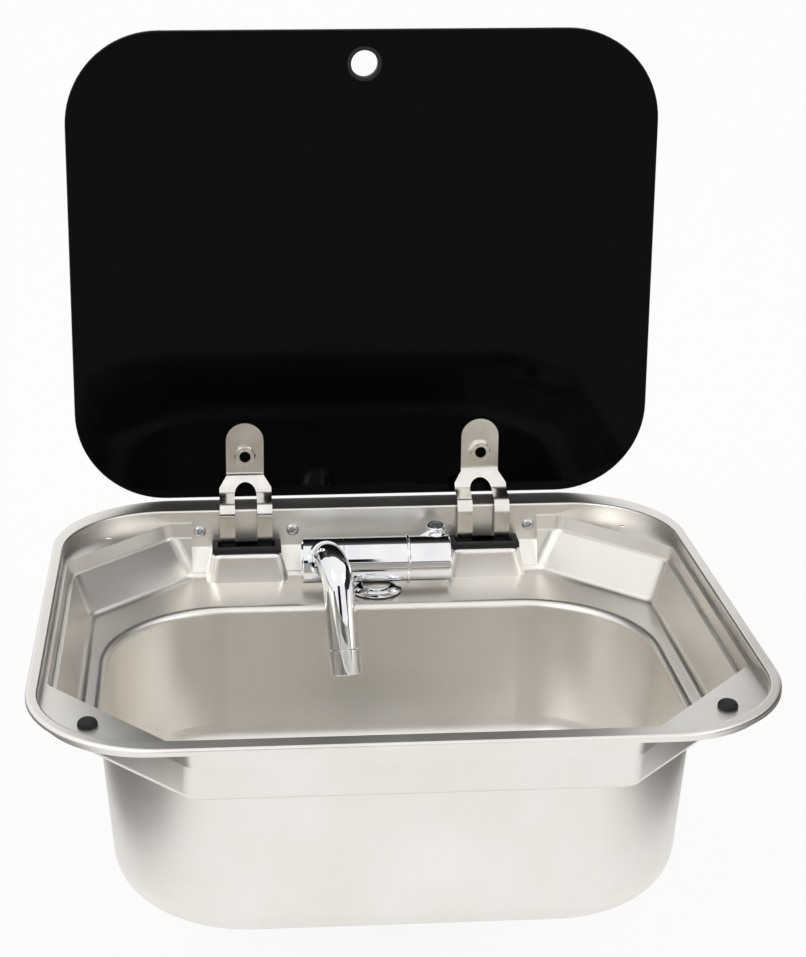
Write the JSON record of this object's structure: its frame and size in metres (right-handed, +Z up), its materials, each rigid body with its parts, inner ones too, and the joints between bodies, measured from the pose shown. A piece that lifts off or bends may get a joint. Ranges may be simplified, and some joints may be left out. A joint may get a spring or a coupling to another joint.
{
  "type": "inset sink with glass lid",
  "caption": "Pressed steel inset sink for a caravan worktop, with a hinged black glass lid that opens upright, a folding tap and a stoppered waste.",
  "frame": {"origin": "middle of the flange outline, at the flange's top face", "axes": "+X to the right as the user stands, +Y from front to back, +Z up"},
  "size_m": [0.42, 0.3765, 0.5225],
  "materials": {
    "basin_steel": "satin",
    "hinge_steel": "satin",
    "chrome_plate": "polished",
    "black_glass": "polished",
    "black_rubber": "matte",
    "grey_plastic": "matte",
    "marker_plastic": "gloss",
    "brass": "satin"
  },
  "bodies": {
    "sink": {"basin": "basin_steel", "rim_seal": "black_rubber", "lid_bumper_left": "black_rubber", "lid_bumper_right": "black_rubber", "slot_gasket_left": "black_rubber", "slot_gasket_right": "black_rubber", "hinge_bracket_left": "hinge_steel", "hinge_bracket_right": "hinge_steel", "hinge_pin_left": "hinge_steel", "hinge_pin_right": "hinge_steel", "hinge_pin_clips": "hinge_steel", "hinge_spacer_left": "grey_plastic", "hinge_spacer_right": "grey_plastic", "hinge_screws": "hinge_steel", "hinge_nuts": "hinge_steel", "tap_base": "chrome_plate", "tap_base_seal": "black_rubber", "tap_body": "chrome_plate", "tap_washer_soft": "black_rubber", "tap_washer_steel": "hinge_steel", "tap_nut": "brass", "handle_ring": "chrome_plate", "cartridge": "brass", "waste_flange": "basin_steel", "waste_seal_upper": "black_rubber", "waste_seal_lower": "black_rubber", "waste_body": "grey_plastic", "waste_screw": "hinge_steel"},
    "lid": {"glass_lid": "black_glass", "finger_grommet": "black_rubber", "hinge_arm_left": "hinge_steel", "hinge_arm_right": "hinge_steel", "lid_pads": "black_rubber", "lid_bolts": "hinge_steel", "lid_nuts": "hinge_steel"},
    "spout_arm": {"barrel_left": "chrome_plate", "barrel_cap": "chrome_plate", "spout_collar": "chrome_plate"},
    "spout": {"spout_tube": "chrome_plate", "aerator_housing": "chrome_plate", "aerator_insert": "grey_plastic"},
    "handle": {"handle": "chrome_plate", "cartridge_stem": "brass", "handle_screw": "hinge_steel", "handle_cap": "chrome_plate", "lever_button": "marker_plastic"},
    "plug": {"drain_plug": "black_rubber", "plug_knob": "chrome_plate"}
  },
  "joints": [
    {"name": "lid_hinge", "type": "hinge", "parent": "sink", "child": "lid", "pos_m": [0, 0.1727, -0.0165], "axis": [1, 0, 0], "range_deg": [0, 90]},
    {"name": "spout_fold", "type": "hinge", "parent": "sink", "child": "spout_arm", "pos_m": [-0.031, 0.1315, -0.026], "axis": [1, 0, 0], "range_deg": [-90, 0]},
    {"name": "spout_swivel", "type": "hinge", "parent": "spout_arm", "child": "spout", "pos_m": [-0.02944, 0.11523, -0.01818], "axis": [0.2193, -0.8794, 0.4226], "range_deg": [-30, 14]},
    {"name": "handle_turn", "type": "hinge", "parent": "sink", "child": "handle", "pos_m": [0.042, 0.1315, -0.026], "axis": [-1, 0, 0], "range_deg": [-75, 0]},
    {"name": "plug_lift", "type": "slide", "parent": "sink", "child": "plug", "axis": [0, 0, 1], "range_m": [0, 0.03]}
  ]
}
